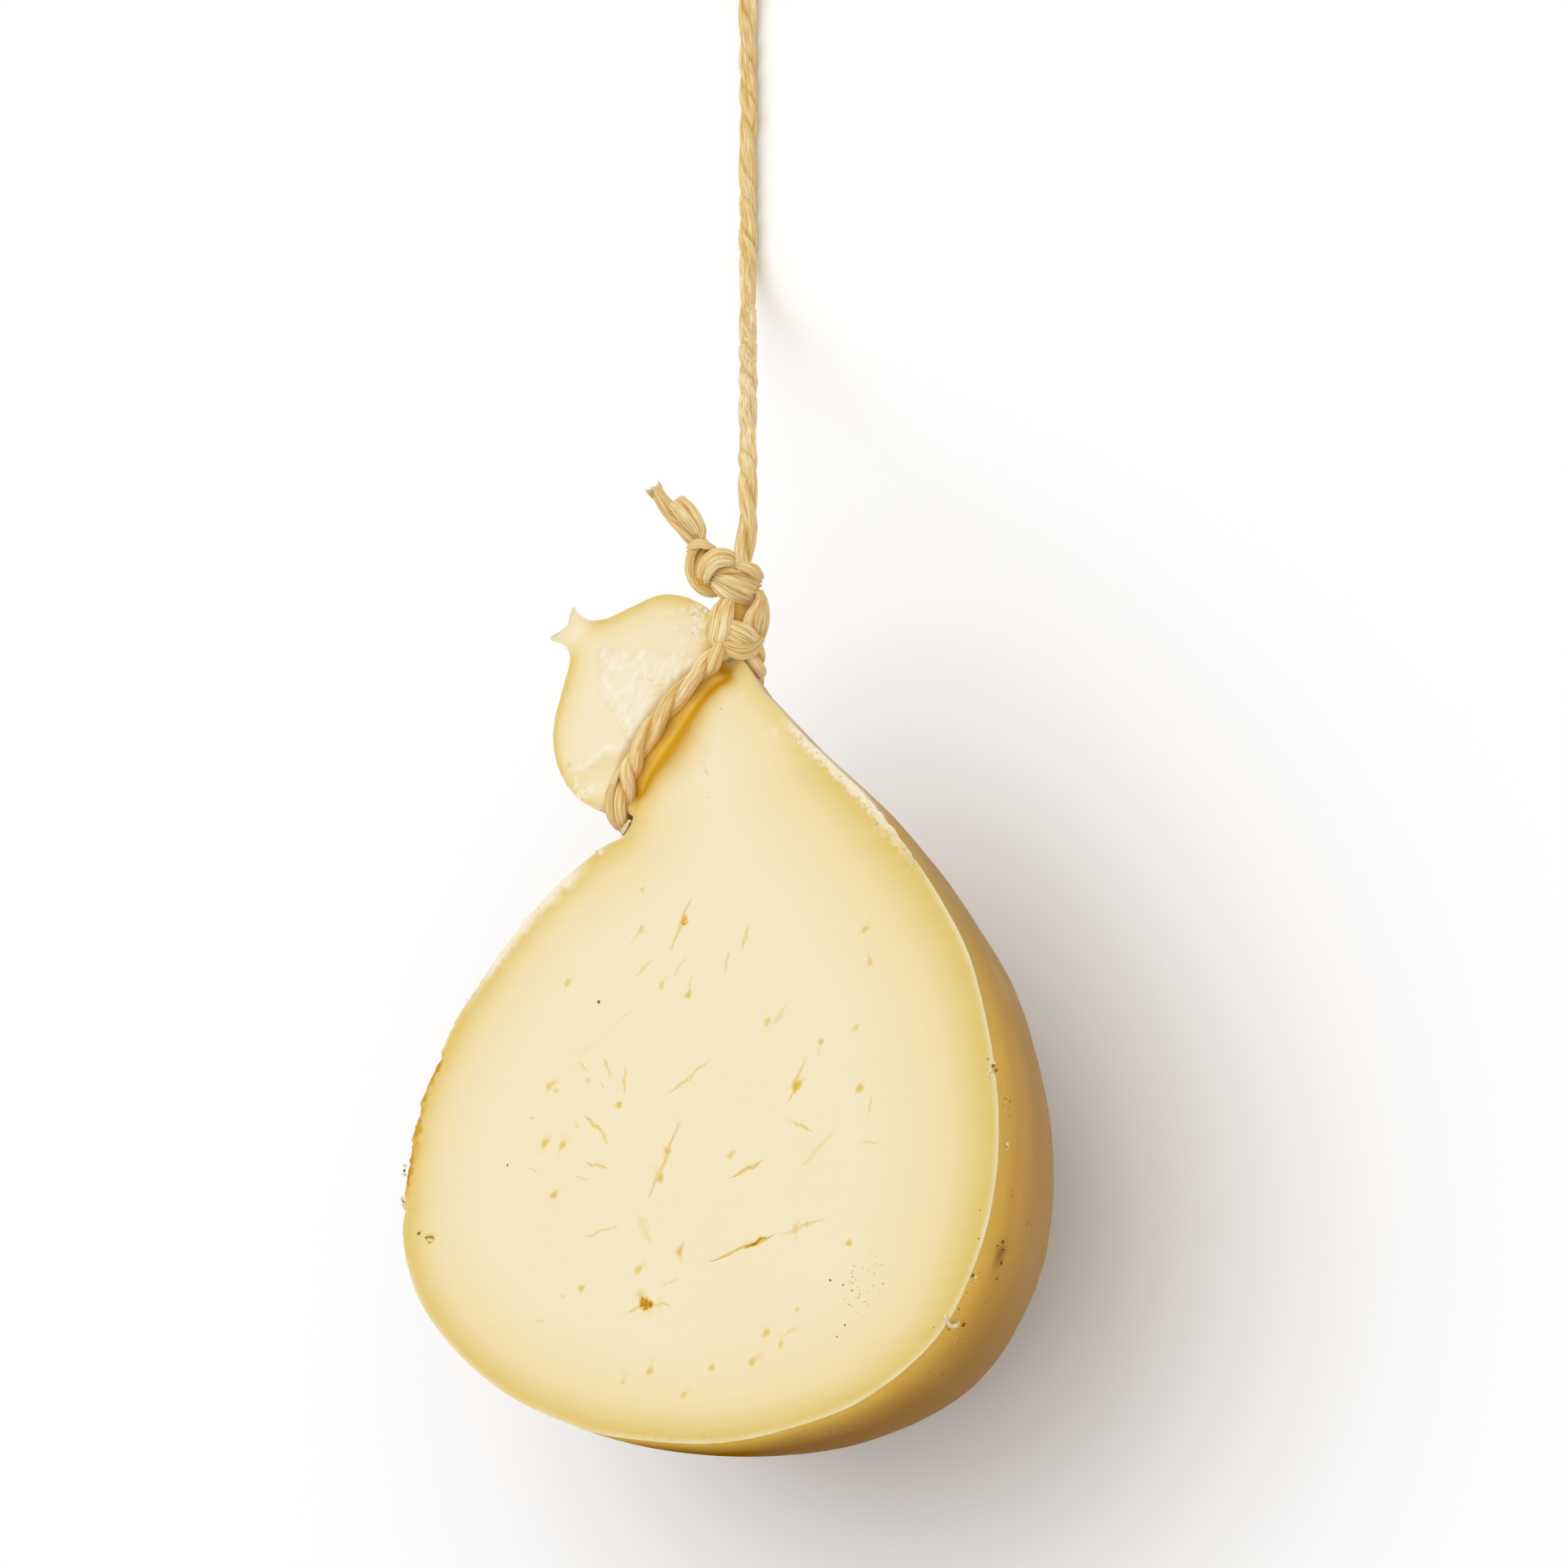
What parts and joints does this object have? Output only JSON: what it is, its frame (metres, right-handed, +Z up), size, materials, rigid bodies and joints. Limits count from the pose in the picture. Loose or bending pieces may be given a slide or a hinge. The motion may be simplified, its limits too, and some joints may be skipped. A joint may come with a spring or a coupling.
{
  "type": "half caciocavallo cheese",
  "caption": "Half of a pear-shaped stretched-curd cheese, cut lengthwise, with a folded head and a knotted twine bound round its neck, lying on its rind.",
  "frame": {"origin": "centre of the box round the cheese, its neck loop and its knots, on the floor", "axes": "+Y from the belly's foot to the head, +X across the belly to the right as one looks down on the cut face, +Z up, out of the cut face"},
  "size_m": [0.163, 0.4547, 0.1002],
  "materials": {
    "cheese": "smooth cut cheese paste with a waxy yellow rind",
    "twine": "dry twisted raffia"
  },
  "bodies": {
    "root": {"cheese": "cheese", "neck_loop": "twine", "knots": "twine", "hanging_twine": "twine", "end_loop": "twine"}
  },
  "joints": []
}
